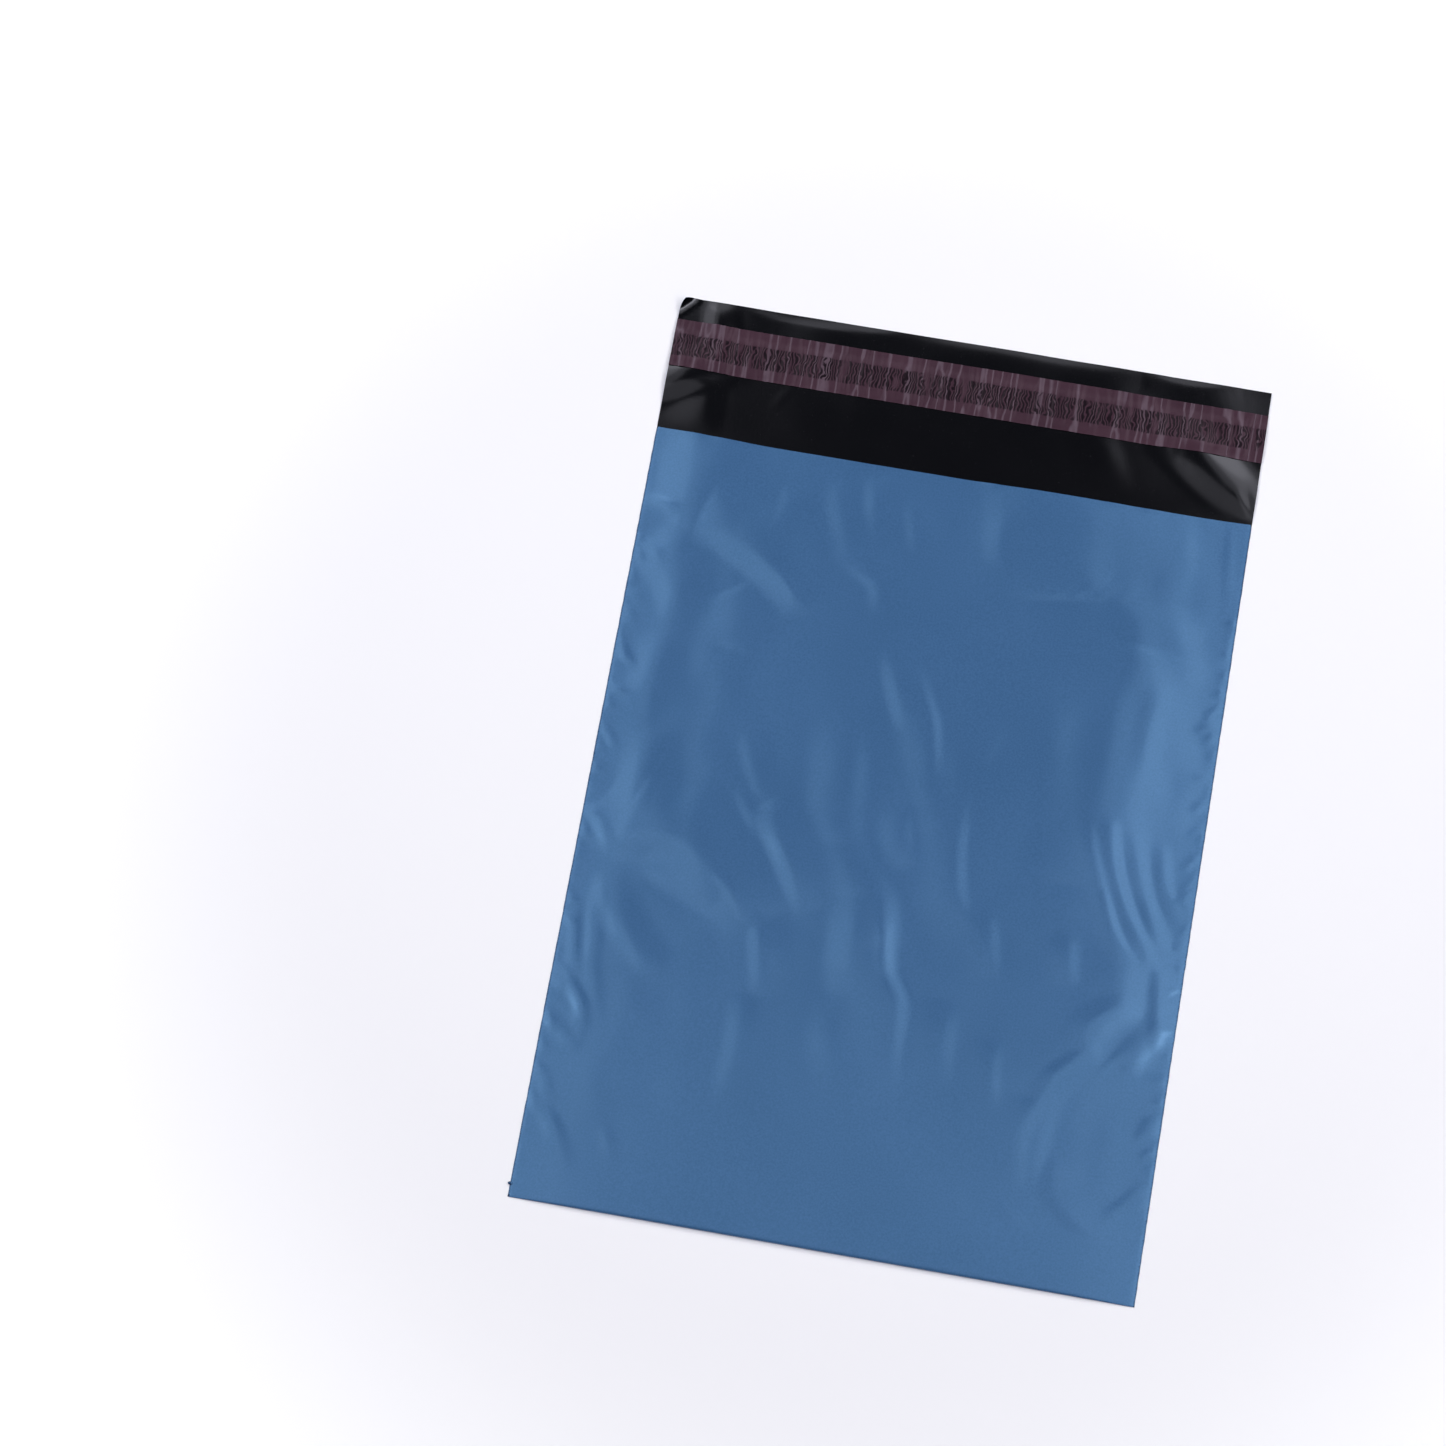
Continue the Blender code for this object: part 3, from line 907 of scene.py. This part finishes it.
# %% Lay the liner with its cross wrinkles
LINER_START = 25.0
LINER_WIDTH = 19.5
LINER_THICKNESS = 0.04
LINER_REST = 0.16
LINER_OVER_ADHESIVE = 0.28
LINER_STEP_MARGIN = 0.6
LINER_STEP_LENGTH = 2.6
LINER_LUMP = 0.05
LINER_LUMP_SIZE = 1.9
WRINKLE_STEP = (2.2, 6.5)
WRINKLE_HEIGHT = (0.14, 0.42)
WRINKLE_WIDTH = (1.1, 2.6)
WRINKLE_LEAN = 1.6
WRINKLE_MARGIN = 2
# Where each wrinkle starts, bends and ends, in millimetres up from the mouth
WRINKLE_START, WRINKLE_BEND, WRINKLE_END = 22, 35, 47
# Stronger folds near the ends of the liner
END_FOLDS = (
    (((-109, 24), (-108, 34), (-106, 45)), 0.5, 2.4, 1.8),
    (((-101, 24), (-102, 34), (-99, 45)), 0.5, 2.4, 1.8),
    (((-93, 24), (-94, 36), (-92, 45)), 0.4, 2.4, 1.8),
    (((99, 24), (101, 35), (100, 45)), 0.4, 2.2, 1.8),
    (((107, 24), (108, 36), (110, 45)), 0.5, 2.4, 1.8),
)


def cross_wrinkles(seed):
    """Creases across the liner at uneven steps, each slanted and bent a little."""
    dice = np.random.default_rng(seed)
    found = []
    across = -HALF + WRINKLE_MARGIN
    while across < HALF - WRINKLE_MARGIN:
        lean, bend = dice.uniform(-WRINKLE_LEAN, WRINKLE_LEAN, size=2)
        start, end = (across - lean, WRINKLE_START), (across + lean, WRINKLE_END)
        points = (start, (across + bend, WRINKLE_BEND), end)
        height = dice.uniform(*WRINKLE_HEIGHT)
        found.append((points, height, *dice.uniform(*WRINKLE_WIDTH, size=2)))
        across += dice.uniform(*WRINKLE_STEP)
    return tuple(found)


WRINKLES = cross_wrinkles(4)


def liner_height(across, beyond):
    """Low over the lip, a step up over the adhesive, and the wrinkles on top."""
    middle = ADHESIVE_START + ADHESIVE_WIDTH / 2
    off_band = np.abs(beyond - middle) - ADHESIVE_WIDTH / 2
    over = 1 - np.clip((off_band - LINER_STEP_MARGIN) / LINER_STEP_LENGTH, 0, 1)
    height = LINER_REST + LINER_OVER_ADHESIVE * over**2 * (3 - 2 * over)
    for row in WRINKLES + END_FOLDS:
        height += crease(across, beyond, *row)
    return height + LINER_LUMP * (1 + swell(across, beyond, LINER_LUMP_SIZE, 6)) * over


liner = lay_on_lip(
    "liner",
    columns=430,
    rows=26,
    half=HALF,
    start=LINER_START,
    width=LINER_WIDTH,
    height_at=liner_height,
)
liner.data.materials.append(bpy.data.materials.new("liner_film"))
finish_sheet(liner, LINER_THICKNESS)
print(len(WRINKLES), "cross wrinkles on the liner")

# %% [markdown]
# The liner is a mauve film that shows the adhesive through it. Where it sticks, the glue wets
# it and darkens it in a row of little worms, in clusters with paler gaps between. The worms
# are stripes across the band, the sine of x, with a noise added to x so that they wander and
# two more noises to break them up. Fine pale streaks across the strip are painted sheen, the
# light that the cross wrinkles would catch. They come from a noise stretched along Y, which
# also gives them a small bump.

# %% Finish of the liner
WORM_PITCH = 1.25
WORM_WANDER = 4.5
BAND_EDGE = 0.4

tree, shader = open_material(liner.data.materials[0])
place = place_in_mm(tree)
band_middle = FILM - LENGTH / 2 + POCKET + ADHESIVE_START + ADHESIVE_WIDTH / 2
# The glue's band, with frayed sides
off_middle = abs(along(place, "Y") - band_middle) + 1.4 * grain(place, 1.6)
in_band = off_middle.ramp(ADHESIVE_WIDTH / 2 + BAND_EDGE, ADHESIVE_WIDTH / 2 - BAND_EDGE)
# Worms across the band, gathered in clusters and broken into short pieces
wander = WORM_WANDER * grain(stretched(place, (1, 0.8, 1)), 3.6, detail=1)
worms = ((along(place, "X") + wander) * (2 * math.pi / WORM_PITCH)).sine()
clusters = grain(stretched(place, (1, 0.3, 1)), 3.4, detail=1).ramp(-0.20, -0.04)
broken = grain(stretched(place, (1, 0.6, 1)), 1.0, detail=1).ramp(-0.30, -0.10)
wetted = in_band * clusters * broken * worms.ramp(-0.7, 0.1)
# Painted sheen: pale streaks where a long thin noise crosses zero
sheen_streaks = abs(grain(stretched(place, (1, 0.04, 1)), 5.0, detail=1)).ramp(0.05, 0.0)
drift = (0.5 + grain(place, 20)).ramp(0.2, 0.8)
mauve = blend(drift, linear(54, 34, 46), linear(62, 41, 53))
# The streaks lighten the mauve towards pale lilac, as painted sheen on the wrinkles
mauve = blend(0.40 * sheen_streaks, mauve, linear(112, 98, 112))
colour = blend(0.10 * in_band + 0.90 * wetted, mauve, linear(8, 0, 8))
relief = 0.02 * worms * in_band + 0.08 * sheen_streaks
wire(shader, Base_Color=colour, Roughness=0.32 + 0.07 * grain(place, 6), Height=relief)
wire(shader, Specular_Tint=(1.0, 0.80, 0.94, 1), Specular_IOR_Level=0.18)
print("liner film uses", len(tree.nodes), "nodes")

# %% Finish of the adhesive
tree, shader = open_material(adhesive.data.materials[0])
place = place_in_mm(tree)
drift = (0.5 + grain(place, 3)).ramp(0.2, 0.8)
colour = blend(drift, (0.030, 0.020, 0.028, 1), (0.055, 0.040, 0.050, 1))
roughness = 0.20 + 0.05 * grain(place, 2)
wire(shader, Base_Color=colour, Roughness=roughness, Height=0.02 * grain(place, 1))
print("adhesive uses", len(tree.nodes), "nodes")

# %% [markdown]
# ## The pieces on the root body
#
# Each piece rides on the root body, and the imported solid that it stands for is hidden.

for piece, node, slot in (
    (film, "film_bag", "film"),
    (adhesive, "adhesive_strip", "adhesive"),
    (liner, "release_liner", "liner"),
):
    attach(piece, "root")
    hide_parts(node)
